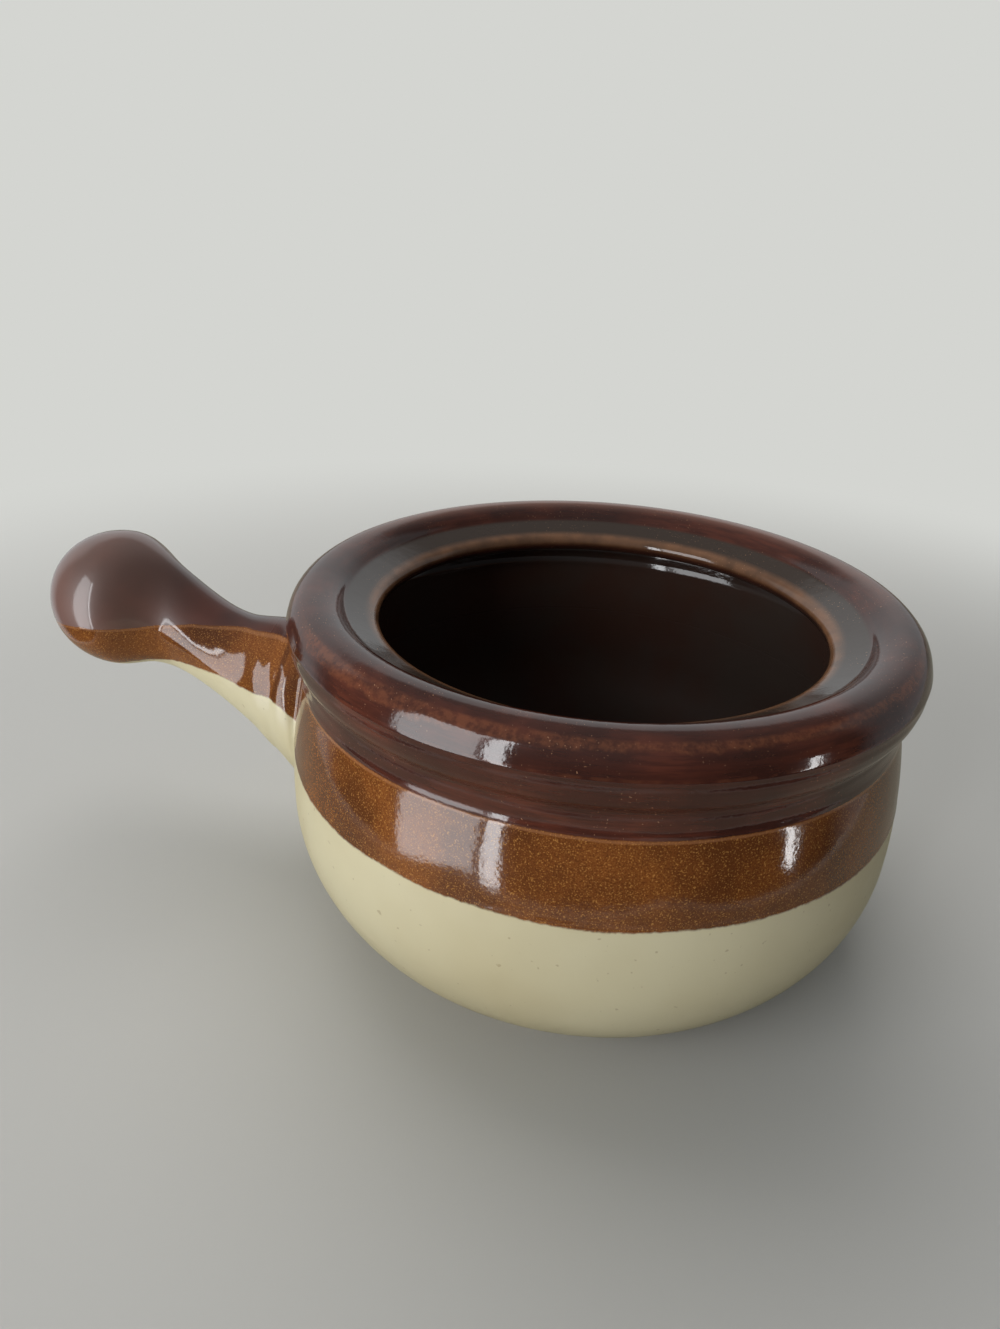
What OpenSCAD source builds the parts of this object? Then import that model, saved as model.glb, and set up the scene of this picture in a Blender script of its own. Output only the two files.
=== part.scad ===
// Single-serving stoneware soup bowl: a thick rolled rim with a lid seat inside it, a rounded
// belly on a low foot ring, and one stick handle that swells to a knob. The bowl stands on
// the plane z = 0 with its axis on the origin, and the handle points along -X. The clay
// body, the handle and the slip that joins them carry thin coats of three glazes.

/* [Overall] */
// Diameter of the rolled rim at its widest line
rim_d = 127; // [110:1:150]
// Height of the bowl from the table to the rim's crest
bowl_h = 76; // [66:0.5:90]

/* [Rim] */
// Width of the roll, from its widest line in to the step of the lid seat
roll_w = 11.1; // [9.5:0.1:13]
// Distance from the widest line in to the crest
crest_in = 5.6; // [4.5:0.1:6.5]
// Height of the crest above the widest line
crest_rise = 6.4; // [5:0.1:8]
// Depth of the roll's lower edge below the widest line
roll_drop = 5.7; // [4.5:0.1:7]
// How far the roll draws in at its lower edge
roll_tuck = 1.8; // [1.2:0.1:2.3]

/* [Lid seat and mouth] */
// Depth of the outer edge of the lid seat below the crest
seat_drop = 3.3; // [2.6:0.1:4.2]
// Width of the lid seat, from its step to the clear mouth
seat_w = 6.8; // [5.5:0.1:8.5]
// Depth of the top of the lip below the crest
lip_drop = 5.4; // [4.6:0.1:7]
// Radius of the rounded lip
lip_r = 2.1; // [1.6:0.1:2.6]

/* [Body] */
// How far the neck lies inside the rim's widest line
neck_in = 2.5; // [2:0.1:3.4]
// How far the belly stands out past the neck
belly_out = 3.2; // [2:0.1:4.5]
// Height of the belly's widest line
belly_z = 32; // [27:0.5:37]
// Radius, across, of the belly's curve in section
belly_round = 34; // [30:0.5:42]
// Height of the belly's upper curve if it were carried on to its top
shoulder_rise = 62; // [50:1:74]
// Thickness of the wall at the belly
wall_t = 6; // [4.5:0.25:8]
// Thickness of the floor over the foot recess
floor_t = 5.4; // [4:0.2:8]

/* [Foot] */
// How far the foot ring lies inside the belly's widest line
foot_in = 18; // [15:0.5:21]
// Height of the foot ring
foot_h = 1.8; // [1.4:0.1:2.6]
// Width of the foot ring's bare face
foot_w = 5; // [4:0.25:7]
// Depth of the recess inside the foot ring
recess_h = 2; // [1.6:0.1:3]

/* [Handle] */
// Length of the handle from the belly's widest line to its tip
handle_l = 61.1; // [54:0.1:72]
// Diameter of the knob
knob_d = 30.2; // [27:0.1:35]
// Length of the knob's rounded end
knob_end = 15.6; // [14:0.1:19]
// Depth of the knob's centre below the crest
knob_drop = 16.6; // [14.5:0.1:19]
// Width of the grip at its waist
grip_d = 14.8; // [13:0.1:18]
// Distance from the belly's widest line to the waist
waist_off = 31; // [27:0.5:35]
// Distance from the knob's centre in to the highest place of the underside
under_in = 7.5; // [4:0.1:9]
// Depth of that place below the crest
under_drop = 30.8; // [29:0.1:31.5]
// Height above the table at which the underside meets the bowl
root_z = 14; // [12.5:0.5:16]
// Distance from the belly's widest line to the lowest place of the top line
top_off = 13.6; // [11:0.2:16]
// Depth of that place below the crest
top_drop = 18.2; // [17:0.1:18.6]
// Depth of the top line below the crest where it meets the bowl
root_drop = 18; // [16:0.1:18.4]
// Width of the handle at the bowl
root_w = 28.4; // [24:0.2:32]
// Swell of the rounded collar beside the bowl
collar_rise = 0.7; // [0.4:0.1:1]
// Length of the collar along the handle
collar_l = 4.5; // [3.6:0.1:5.4]
// Distance from the belly's widest line to the middle of the collar
collar_off = 2.6; // [2:0.1:3.2]

/* [Finish] */
// Thickness of every glaze coat
glaze_t = 0.4; // [0.3:0.05:0.5]
// Thickness of the slip that joins the handle to the wall
slip_t = 0.5; // [0.4:0.1:0.6]
// Depth below the crest of the edge between brown and amber glaze on the bowl
brown_drop = 17.9; // [16:0.1:20]
// Depth below the crest of the edge between amber and cream glaze on the bowl
amber_drop = 33.7; // [28:0.1:38]
// Depth below the crest of the edge between brown and amber glaze on the handle
handle_brown_drop = 19.2; // [19:0.1:21]
// Depth below the crest of the edge between amber and cream glaze on the handle
handle_amber_drop = 29; // [27:0.1:30.5]

/* [Hidden] */

// Smoothness: degrees per step of an arc, faces round the bowl and round the handle
arc_step_deg = 6;
bend_steps = 7;
ring_faces = 72;
handle_faces = 28;
// Rings along the handle's root, knob and rounded end
root_rings = 13;
knob_rings = 7;
end_rings = 6;

// Colours
clay_colour = [0.78, 0.72, 0.60];
brown_colour = [0.28, 0.16, 0.13];
amber_colour = [0.55, 0.34, 0.16];
cream_colour = [0.80, 0.76, 0.62];

// Angles at which arcs of the section end
roll_end_deg = 60;
step_end_deg = 153;

// Radii and heights of the rim
rim_r = rim_d / 2;
wide_z = bowl_h - crest_rise;
crest_r = rim_r - crest_in;
seat_r = rim_r - roll_w;
mouth_r = seat_r - seat_w;
roll_rx = roll_tuck / (1 - cos(roll_end_deg));
roll_ry = roll_drop / sin(roll_end_deg);
step_rx = (seat_r - crest_r) / cos(step_end_deg);
step_ry = seat_drop / (1 - sin(step_end_deg));
lip_c = [mouth_r + lip_r, bowl_h - lip_drop - lip_r];
seat_fall = atan2(lip_drop - seat_drop, seat_r - lip_c[0]);

// Radii and heights of the body
neck_r = rim_r - neck_in;
belly_r = neck_r + belly_out;
brown_z = bowl_h - brown_drop;
amber_z = bowl_h - amber_drop;
handle_brown_z = bowl_h - handle_brown_drop;
handle_amber_z = bowl_h - handle_amber_drop;
belly_c = belly_r - belly_round;
foot_deg = acos(1 - foot_in / belly_round);
under_rise = (belly_z - foot_h) / sin(foot_deg);
neck_top_z = wide_z - roll_drop;
neck_low_share = 0.25;
neck_high_share = 0.8;

// Radii and heights of the hollow
inner_r = belly_r - wall_t;
floor_z = recess_h + floor_t;
floor_round_share = 0.58;
floor_round = inner_r * floor_round_share;

// Inside the rim the wall follows the roll: a cove under the seat, then a narrow throat
throat_wall_share = 0.9;
cove_share = 0.3;
throat_r = belly_edge(brown_z) - wall_t * throat_wall_share;
throat_z = brown_z + (neck_top_z - brown_z) * neck_low_share;
cove_r = throat_r + wall_t * cove_share;
cove_z = lip_c[1] - 2 * lip_r;

// Points along an ellipse's arc from one angle to another
function arc_pts(c, rx, ry, a0, a1) =
    let (n = ceil(abs(a1 - a0) / arc_step_deg))
    [for (i = [0:n]) let (a = a0 + (a1 - a0) * i / n) [c[0] + rx * cos(a), c[1] + ry * sin(a)]];
function tail(pts) = [for (i = [1:len(pts) - 1]) pts[i]];

// Points below one point down to another, upright at both
function bend_pts(a, b) = [for (i = [1:bend_steps]) let (t = i / bend_steps)
    [a[0] + (b[0] - a[0]) * (1 - cos(180 * t)) / 2, a[1] + (b[1] - a[1]) * t]];

// The belly's outline: the angle that belongs to a height, the radius there, and a stretch of it
function belly_ry(z) = z > belly_z ? shoulder_rise : under_rise;
function belly_deg(z) = asin((z - belly_z) / belly_ry(z));
function belly_edge(z) = belly_c + belly_round * cos(belly_deg(z));
function belly_pts(z0, z1) =
    let (a0 = belly_deg(z0), a1 = belly_deg(z1), n = ceil((a1 - a0) / arc_step_deg))
    [for (i = [0:n]) let (a = a0 + (a1 - a0) * i / n)
        [belly_c + belly_round * cos(a), belly_z + (a > 0 ? shoulder_rise : under_rise) * sin(a)]];

// The finished outline in four runs, walked up the outside, over the rim, down the inside
// and across the floor to the axis, with the clay always on the left
cream_run = belly_pts(foot_h, amber_z);
amber_run = belly_pts(amber_z, brown_z);
rim_run = concat(
    [[belly_edge(brown_z), brown_z],
     [neck_r, brown_z + (neck_top_z - brown_z) * neck_low_share],
     [neck_r, brown_z + (neck_top_z - brown_z) * neck_high_share]],
    arc_pts([rim_r - roll_rx, wide_z], roll_rx, roll_ry, -roll_end_deg, 0),
    tail(arc_pts([crest_r, wide_z], crest_in, crest_rise, 0, 90)),
    tail(arc_pts([crest_r, bowl_h - step_ry], step_rx, step_ry, 90, step_end_deg)),
    arc_pts(lip_c, lip_r, lip_r, 90 + seat_fall, 180));
lining_run = concat(
    arc_pts(lip_c, lip_r, lip_r, 180, 270),
    tail(arc_pts([lip_c[0], cove_z], cove_r - lip_c[0], lip_c[1] - lip_r - cove_z, 90, 0)),
    bend_pts([cove_r, cove_z], [throat_r, throat_z]),
    bend_pts([throat_r, throat_z], [inner_r, belly_z]),
    tail(arc_pts([inner_r - floor_round, belly_z], floor_round, belly_z - floor_z, 0, -90)),
    [[0, floor_z]]);
finished_run = concat(cream_run, tail(amber_run), tail(rim_run), tail(lining_run));
amber_start = len(cream_run) - 1;
rim_start = amber_start + len(amber_run) - 1;
lining_start = rim_start + len(rim_run) - 1;
run_end = len(finished_run) - 1;

// Each point of a run moved to its left by a distance, square to the run
function unit(v) = v / norm(v);
function heading(pts, i) =
    let (last = len(pts) - 1,
         ahead = unit(pts[min(i + 1, last)] - pts[min(i, last - 1)]),
         behind = unit(pts[max(i, 1)] - pts[max(i - 1, 0)]))
    unit(ahead + behind);
function moved_left(pts, d) = [
    for (i = [0:len(pts) - 1]) let (t = heading(pts, i)) pts[i] + d * [-t[1], t[0]]];

// The clay's outline under the glaze, and the bare foot ring with its recess
clay_run = moved_left(finished_run, glaze_t);
foot_r = clay_run[0][0];
foot_in_r = foot_r - foot_w;
foot_edge = foot_h / 3;
foot_run = [
    [0, recess_h], [foot_in_r - foot_edge, recess_h], [foot_in_r, recess_h - foot_edge],
    [foot_in_r + foot_edge, 0], [foot_r - foot_edge, 0], [foot_r, foot_edge]];

module bowl_body() {
    color(clay_colour)
        rotate_extrude($fn = ring_faces)
            polygon(concat(foot_run, clay_run));
}

// A glaze coat on one stretch of the bowl's outline
module bowl_coat(first, last) {
    rotate_extrude($fn = ring_faces)
        polygon(concat(
            [for (i = [first:last]) finished_run[i]],
            [for (i = [last:-1:first]) clay_run[i]]));
}

module brown_glaze_rim() {
    color(brown_colour)
        difference() {
            bowl_coat(rim_start, lining_start);
            handle_form(0);
        }
}

module brown_glaze_lining() {
    color(brown_colour)
        bowl_coat(lining_start, run_end);
}

module amber_glaze_band() {
    color(amber_colour)
        difference() {
            bowl_coat(amber_start, rim_start);
            handle_form(0);
        }
}

module cream_glaze_belly() {
    color(cream_colour)
        difference() {
            bowl_coat(0, amber_start);
            handle_form(0);
        }
}

module cream_glaze_base() {
    color(cream_colour)
        translate([0, 0, recess_h - glaze_t])
            cylinder(h = glaze_t, r = foot_in_r - foot_edge, $fn = ring_faces);
}

// Places along the handle, measured outwards from the bowl's axis
tip_at = belly_r + handle_l;
knob_at = tip_at - knob_end;
under_at = knob_at - under_in;
waist_at = belly_r + waist_off;
top_at = belly_r + top_off;
root_at = belly_edge(root_z);
root_in = root_at - wall_t / 2;
collar_at = belly_r + collar_off;

// Heights along the handle, and how sharply its underside bends down to the bowl
knob_z = bowl_h - knob_drop;
under_z = bowl_h - under_drop;
top_low_z = bowl_h - top_drop;
root_top_z = bowl_h - root_drop;
bend_power = 1.45;

// A value's share of the way between two others; a swing that is 1 at one place and 0 at
// another, level at both; and how far a place lies past one on the way to the bowl, 0 to 1
function mix(a, b, t) = a + (b - a) * t;
function swing(s, one_at, zero_at) =
    0.5 + 0.5 * cos(180 * min(1, max(0, (s - one_at) / (zero_at - one_at))));
function past(s, from, to) = min(1, max(0, (from - s) / (from - to)));

// The rounded end, the collar, and the handle's top, underside and half width at a place
function round_end(s) = s < knob_at ? 1 : sqrt(max(0, 1 - pow((s - knob_at) / knob_end, 2)));
function collar(s) = collar_rise * exp(-pow((s - collar_at) / (collar_l / 2), 2));
function top_z(s) = s > knob_at ? knob_z + knob_d / 2 * round_end(s)
    : mix(top_low_z, knob_z + knob_d / 2, swing(s, knob_at, top_at))
        + (root_top_z - top_low_z) * pow(past(s, top_at, belly_r), 2) + collar(s);
function under_line_z(s) = s > knob_at ? knob_z - knob_d / 2 * round_end(s)
    : mix(under_z, knob_z - knob_d / 2, swing(s, knob_at, under_at))
        - (under_z - root_z) * pow(past(s, under_at, root_at), bend_power);
function half_w(s) = s > knob_at ? knob_d / 2 * round_end(s)
    : mix(grip_d / 2, knob_d / 2, swing(s, knob_at, waist_at))
        + (root_w - grip_d) / 2 * pow(past(s, waist_at, belly_r), 2) + collar(s);

// Where the rings of the handle stand, from inside the wall to just short of the tip
ring_places = concat(
    [for (i = [0:root_rings - 1]) mix(root_in, under_at, i / root_rings)],
    [for (i = [0:knob_rings - 1]) mix(under_at, knob_at, i / knob_rings)],
    [for (i = [0:end_rings - 1]) knob_at + knob_end * sin(90 * i / end_rings)]);

// One ring of the handle, grown all round by a coat's thickness
function handle_ring(s, coat) =
    let (mid = (top_z(s) + under_line_z(s)) / 2,
         half_h = (top_z(s) - under_line_z(s)) / 2 + coat,
         wide = half_w(s) + coat,
         out = s + coat * max(0, s - knob_at) / knob_end)
    [for (j = [0:handle_faces - 1]) let (a = 360 * j / handle_faces)
        [-out, -wide * cos(a), mid + half_h * sin(a)]];

// The handle as one closed skin: a root face inside the wall, the rings and the tip
module handle_form(coat) {
    rings = len(ring_places);
    points = concat(
        [[-root_in, 0, (top_z(root_in) + under_line_z(root_in)) / 2]],
        [for (s = ring_places) each handle_ring(s, coat)],
        [[-tip_at - coat, 0, knob_z]]);
    tip = len(points) - 1;
    function at(i, j) = 1 + i * handle_faces + j % handle_faces;
    faces = concat(
        [for (j = [0:handle_faces - 1]) [0, at(0, j), at(0, j + 1)]],
        [for (i = [0:rings - 2], j = [0:handle_faces - 1])
            each [[at(i, j), at(i + 1, j), at(i + 1, j + 1)], [at(i, j), at(i + 1, j + 1), at(i, j + 1)]]],
        [for (j = [0:handle_faces - 1]) [at(rings - 1, j), tip, at(rings - 1, j + 1)]]);
    polyhedron(points = points, faces = faces, convexity = 6);
}

// The bowl without its hollow: the clay grown outwards by a layer
module bowl_block(layer) {
    run = moved_left([for (i = [0:lining_start]) finished_run[i]], glaze_t - layer);
    rotate_extrude($fn = ring_faces)
        polygon(concat([[0, run[0][1]]], run, [[0, run[len(run) - 1][1]]]));
}

module handle() {
    color(clay_colour)
        difference() {
            handle_form(0);
            bowl_block(slip_t);
        }
}

module joining_slip() {
    color(clay_colour)
        difference() {
            intersection() {
                handle_form(0);
                bowl_block(slip_t);
            }
            bowl_block(0);
        }
}

// The handle's glaze coat between two heights
module handle_coat(low_z, high_z) {
    reach = 2 * (tip_at + glaze_t);
    difference() {
        intersection() {
            handle_form(glaze_t);
            translate([-reach / 2, 0, (low_z + high_z) / 2])
                cube([reach, reach, high_z - low_z], center = true);
        }
        handle_form(0);
        bowl_block(glaze_t);
    }
}

module brown_glaze_handle() {
    color(brown_colour)
        handle_coat(handle_brown_z, knob_z + knob_d);
}

module amber_glaze_handle() {
    color(amber_colour)
        handle_coat(handle_amber_z, handle_brown_z);
}

module cream_glaze_handle() {
    color(cream_colour)
        handle_coat(0, handle_amber_z);
}

bowl_body();
handle();
joining_slip();
brown_glaze_rim();
brown_glaze_lining();
amber_glaze_band();
cream_glaze_belly();
cream_glaze_base();
brown_glaze_handle();
amber_glaze_handle();
cream_glaze_handle();
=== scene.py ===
# Looks of the stoneware soup bowl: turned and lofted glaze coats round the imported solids, speckled
# glazes drawn by nodes, a pale floor, soft studio light and the photograph's camera.
import math

import bpy
import numpy as np
from mathutils import Matrix


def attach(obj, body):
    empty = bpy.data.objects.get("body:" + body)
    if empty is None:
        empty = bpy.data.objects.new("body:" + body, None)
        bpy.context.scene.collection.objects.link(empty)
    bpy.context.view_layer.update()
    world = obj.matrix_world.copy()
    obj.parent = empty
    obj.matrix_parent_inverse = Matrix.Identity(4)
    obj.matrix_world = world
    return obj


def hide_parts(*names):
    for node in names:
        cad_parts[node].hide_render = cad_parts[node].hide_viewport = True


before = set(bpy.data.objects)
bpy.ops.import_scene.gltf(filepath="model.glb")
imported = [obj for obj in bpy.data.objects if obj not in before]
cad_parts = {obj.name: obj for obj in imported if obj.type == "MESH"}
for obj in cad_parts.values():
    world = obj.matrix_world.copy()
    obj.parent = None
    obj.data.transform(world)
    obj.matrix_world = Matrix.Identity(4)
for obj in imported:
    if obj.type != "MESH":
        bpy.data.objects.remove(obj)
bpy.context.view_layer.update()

# Sizes in millimetres, as in the part's source
RIM_D = 127.0
BOWL_H = 76.0
ROLL_W = 11.1
CREST_IN = 5.6
CREST_RISE = 6.4
ROLL_DROP = 5.7
ROLL_TUCK = 1.8
SEAT_DROP = 3.3
SEAT_W = 6.8
LIP_DROP = 5.4
LIP_R = 2.1
NECK_IN = 2.5
BELLY_OUT = 3.2
BELLY_Z = 32.0
BELLY_ROUND = 34.0
SHOULDER_RISE = 62.0
WALL_T = 6.0
FLOOR_T = 5.4
FOOT_IN = 18.0
FOOT_H = 1.8
RECESS_H = 2.0
HANDLE_L = 61.1
KNOB_D = 30.2
KNOB_END = 15.6
KNOB_DROP = 16.6
GRIP_D = 14.8
WAIST_OFF = 31.0
UNDER_IN = 7.5
UNDER_DROP = 30.8
ROOT_Z = 14.0
TOP_OFF = 13.6
TOP_DROP = 18.2
ROOT_DROP = 18.0
ROOT_W = 28.4
COLLAR_RISE = 0.7
COLLAR_L = 4.5
COLLAR_OFF = 2.6
BEND_POWER = 1.45
GLAZE_T = 0.4
BROWN_DROP = 17.9
AMBER_DROP = 33.7

# Sizes that follow from them
RIM_R = RIM_D / 2
WIDE_Z = BOWL_H - CREST_RISE
CREST_R = RIM_R - CREST_IN
SEAT_R = RIM_R - ROLL_W
MOUTH_R = SEAT_R - SEAT_W
NECK_R = RIM_R - NECK_IN
BELLY_R = NECK_R + BELLY_OUT
BROWN_Z = BOWL_H - BROWN_DROP
AMBER_Z = BOWL_H - AMBER_DROP
BELLY_C = BELLY_R - BELLY_ROUND
FOOT_DEG = math.degrees(math.acos(1 - FOOT_IN / BELLY_ROUND))
UNDER_RISE = (BELLY_Z - FOOT_H) / math.sin(math.radians(FOOT_DEG))
INNER_R = BELLY_R - WALL_T
FLOOR_Z = RECESS_H + FLOOR_T
FLOOR_ROUND = INNER_R * 0.58
LIP_C = (MOUTH_R + LIP_R, BOWL_H - LIP_DROP - LIP_R)
SEAT_FALL = math.degrees(math.atan2(LIP_DROP - SEAT_DROP, SEAT_R - LIP_C[0]))
ROLL_END = 60.0
STEP_END = 153.0
COVE_Z = LIP_C[1] - 2 * LIP_R
MM = 0.001

# How finely the outline is drawn, and how much its corners are rounded
ARC_POINTS = 90
BEND_POINTS = 60
FINE_GAP = 0.1
CORNER_SPREAD = 0.35


# The turned outline

def arc(cx, cz, rx, rz, a0, a1):
    """Points along an ellipse's arc."""
    a = np.radians(np.linspace(a0, a1, ARC_POINTS))
    return np.stack([cx + rx * np.cos(a), cz + rz * np.sin(a)], 1)


def bend(a, b):
    """Points below one point down to another, upright at both."""
    t = np.linspace(0, 1, BEND_POINTS)
    return np.stack([a[0] + (b[0] - a[0]) * (1 - np.cos(np.pi * t)) / 2, a[1] + (b[1] - a[1]) * t], 1)


def spaced(points, gap):
    """The same line with points a gap apart."""
    step = np.linalg.norm(np.diff(points, axis=0), axis=1)
    along = np.concatenate([[0], np.cumsum(step)])
    marks = np.linspace(0, along[-1], max(2, int(round(along[-1] / gap)) + 1))
    return np.stack([np.interp(marks, along, points[:, 0]), np.interp(marks, along, points[:, 1])], 1)


def softened(points, gap, spread):
    """The line with its corners rounded by a running mean."""
    fine = spaced(points, gap)
    reach = int(3 * spread / gap)
    weight = np.exp(-0.5 * (np.arange(-reach, reach + 1) * gap / spread) ** 2)
    weight /= weight.sum()
    head = 2 * fine[0] - fine[reach:0:-1]
    rear = 2 * fine[-1] - fine[-2:-reach - 2:-1]
    padded = np.concatenate([head, fine, rear])
    return np.stack([np.convolve(padded[:, k], weight, mode="valid") for k in (0, 1)], 1)


def belly_r(z):
    """Radius of the bowl's outside at a height."""
    z = np.asarray(z, float)
    rise = np.where(z > BELLY_Z, SHOULDER_RISE, UNDER_RISE)
    side = np.clip((z - BELLY_Z) / rise, -0.999, 0.999)
    return BELLY_C + BELLY_ROUND * np.sqrt(1 - side ** 2)


roll_rx = ROLL_TUCK / (1 - math.cos(math.radians(ROLL_END)))
roll_rz = ROLL_DROP / math.sin(math.radians(ROLL_END))
step_rx = (SEAT_R - CREST_R) / math.cos(math.radians(STEP_END))
step_rz = SEAT_DROP / (1 - math.sin(math.radians(STEP_END)))
neck_top = WIDE_Z - ROLL_DROP
THROAT_R = float(belly_r(BROWN_Z)) - WALL_T * 0.9
THROAT_Z = BROWN_Z + (neck_top - BROWN_Z) * 0.25
COVE_R = THROAT_R + WALL_T * 0.3
heights = np.linspace(FOOT_H, BROWN_Z, 200)
belly = np.stack([belly_r(heights), heights], 1)
neck = np.array([[NECK_R, BROWN_Z + (neck_top - BROWN_Z) * k] for k in (0.25, 0.8)])
outside = np.concatenate([
    belly, neck,
    arc(RIM_R - roll_rx, WIDE_Z, roll_rx, roll_rz, -ROLL_END, 0),
    arc(CREST_R, WIDE_Z, CREST_IN, CREST_RISE, 0, 90),
    arc(CREST_R, BOWL_H - step_rz, step_rx, step_rz, 90, STEP_END),
    arc(LIP_C[0], LIP_C[1], LIP_R, LIP_R, 90 + SEAT_FALL, 180),
])
inside = np.concatenate([
    arc(LIP_C[0], LIP_C[1], LIP_R, LIP_R, 180, 270),
    arc(LIP_C[0], COVE_Z, COVE_R - LIP_C[0], LIP_C[1] - LIP_R - COVE_Z, 90, 0),
    bend((COVE_R, COVE_Z), (THROAT_R, THROAT_Z)),
    bend((THROAT_R, THROAT_Z), (INNER_R, BELLY_Z)),
    arc(INNER_R - FLOOR_ROUND, BELLY_Z, FLOOR_ROUND, BELLY_Z - FLOOR_Z, 0, -90),
    np.array([[0.0, FLOOR_Z]]),
])
whole = softened(np.concatenate([outside, inside]), FINE_GAP, CORNER_SPREAD)
whole[-1] = (0.0, FLOOR_Z)
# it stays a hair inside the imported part's box
whole[:, 0] = np.minimum(whole[:, 0], BELLY_R - 0.03)
whole[:, 1] = np.minimum(whole[:, 1], BOWL_H - 0.02)

# Where one glaze ends and the next begins along the outline, and the gap between each one's points
CREAM_GAP, AMBER_GAP, RIM_GAP, LINING_GAP = 1.1, 0.5, 0.4, 1.5
amber_at = int(np.argmax(whole[:, 1] > AMBER_Z))
brown_at = int(np.argmax(whole[:, 1] > BROWN_Z))
crest_at = int(np.argmax(whole[:, 1]))
lining_at = crest_at + int(np.argmin(whole[crest_at:crest_at + 400, 0]))
runs = [
    spaced(whole[:amber_at + 1], CREAM_GAP),
    spaced(whole[amber_at:brown_at + 1], AMBER_GAP),
    spaced(whole[brown_at:lining_at + 1], RIM_GAP),
    spaced(whole[lining_at:], LINING_GAP),
]
outline = np.concatenate([runs[0]] + [r[1:] for r in runs[1:]])
ends = np.cumsum([len(runs[0]) - 1] + [len(r) - 1 for r in runs[1:]])


def headings(points):
    """Unit direction of a line at each of its points."""
    t = np.gradient(points, axis=0)
    return t / np.linalg.norm(t, axis=1)[:, None]


def bell(value, centre, width):
    """A smooth bump, 1 at its centre."""
    return np.exp(-0.5 * ((value - centre) / width) ** 2)


# The wheel's lines and glaze edges: how far each stands out, its height, its share of the
# wave round the bowl, and its width
WHEEL_LINES = [
    (0.11, 70.3, 0.3, 0.35),
    (-0.06, 69.3, 0.3, 0.4),
    (-0.12, neck_top - 0.3, 0.0, 0.45),
    (0.05, 61.6, 0.0, 0.5),
    (0.08, BROWN_Z + 0.5, 0.4, 0.4),
    (0.06, AMBER_Z + 0.2, 1.0, 0.5),
]


def throwing(points, on_flank, turn):
    """Height of the wheel's lines, the neck's fine rings and the slow unevenness over the outline."""
    z = points[:, 1][:, None]
    wave = 0.25 * np.sin(2 * turn + 0.6) + 0.15 * np.sin(5 * turn + 2.1)
    lines = 0.018 * np.sin(z * 4.1 + 0.8 * wave) * bell(z, 66.5, 2.6)
    for stand, at_z, share, width in WHEEL_LINES:
        lines = lines + stand * bell(z, at_z + share * wave, width)
    slow = -0.05 * (1 + np.sin(3 * turn + 1.0)) - 0.03 * (1 + np.sin(2 * turn + 4.0))
    return on_flank[:, None] * (lines + slow * bell(z, 45, 18))


TURNS = 288
turn = np.linspace(0, 2 * math.pi, TURNS, endpoint=False)[None, :]
along = headings(outline)
outward = np.stack([along[:, 1], -along[:, 0]], 1)
# the flank ends some rows above the amber, under the roll
FLANK_ROWS = 40
flank = (np.arange(len(outline)) < ends[1] + FLANK_ROWS).astype(float)
lift = throwing(outline, flank, turn)
radius = outline[:, 0][:, None] + outward[:, 0][:, None] * lift
height = outline[:, 1][:, None] + outward[:, 1][:, None] * lift
bowl_grid = np.stack([radius * np.cos(turn), radius * np.sin(turn), height], 2)


# Shells with thickness, made from a patch of one surface

def point_normals(verts, faces):
    """Normals of a surface of four-sided and three-sided faces, at its points."""
    total = np.zeros_like(verts)
    for face in (faces[:, [0, 1, 2]], faces[:, [0, 2, 3]]):
        a, b, c = verts[face[:, 0]], verts[face[:, 1]], verts[face[:, 2]]
        n = np.cross(b - a, c - a)
        for k in range(3):
            np.add.at(total, face[:, k], n)
    size = np.linalg.norm(total, axis=1)
    size[size == 0] = 1
    return total / size[:, None]


def shell(name, verts, normals, faces, material, slot, *nodes):
    """A closed shell: the patch, the same patch moved in by a coat, and the edge between them."""
    used = np.unique(faces)
    index = -np.ones(len(verts), int)
    index[used] = np.arange(len(used))
    faces = index[faces]
    top = verts[used]
    normal = normals[used]
    low = top - normal * GLAZE_T
    count = len(used)
    polys = []
    shade = []
    edges = {}
    for face in faces.tolist():
        ring = [v for i, v in enumerate(face) if v != face[i - 1]]
        polys.append(ring)
        shade.extend(normal[v] for v in ring)
        for i, v in enumerate(ring):
            edges[(v, ring[(i + 1) % len(ring)])] = True
    for ring in list(polys):
        back = [v + count for v in reversed(ring)]
        polys.append(back)
        shade.extend(-normal[v - count] for v in back)
    points = np.concatenate([top, low])
    for a, b in edges:
        if (b, a) not in edges:
            wall = [b, a, a + count, b + count]
            polys.append(wall)
            n = np.cross(points[a] - points[b], points[a + count] - points[b])
            n = n / (np.linalg.norm(n) or 1)
            shade.extend([n] * 4)
    mesh = bpy.data.meshes.new(name)
    mesh.from_pydata((points * MM).tolist(), [], polys)
    mesh.polygons.foreach_set("use_smooth", [True] * len(polys))
    mesh.normals_split_custom_set([tuple(n) for n in shade])
    mesh.materials.append(material)
    mesh.update()
    piece = bpy.data.objects.new(name, mesh)
    bpy.context.scene.collection.objects.link(piece)
    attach(piece, "root")
    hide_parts(*nodes)


def grid_faces(rows, cols):
    """Faces between the points of a grid, closed round its columns."""
    i = np.arange(rows - 1)[:, None]
    j = np.arange(cols)[None, :]
    k = (j + 1) % cols
    quads = np.stack([i * cols + j, i * cols + k, (i + 1) * cols + k, (i + 1) * cols + j], -1)
    return quads.reshape(-1, 4)


def fan(first, cols, tip):
    """Faces from a closed ring of points to one more point."""
    return np.array([[first + j, first + (j + 1) % cols, tip, tip] for j in range(cols)])


# The handle

def swing(s, one_at, zero_at):
    """1 at one place and 0 at another, level at both."""
    return 0.5 + 0.5 * np.cos(np.pi * np.clip((s - one_at) / (zero_at - one_at), 0, 1))


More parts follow.
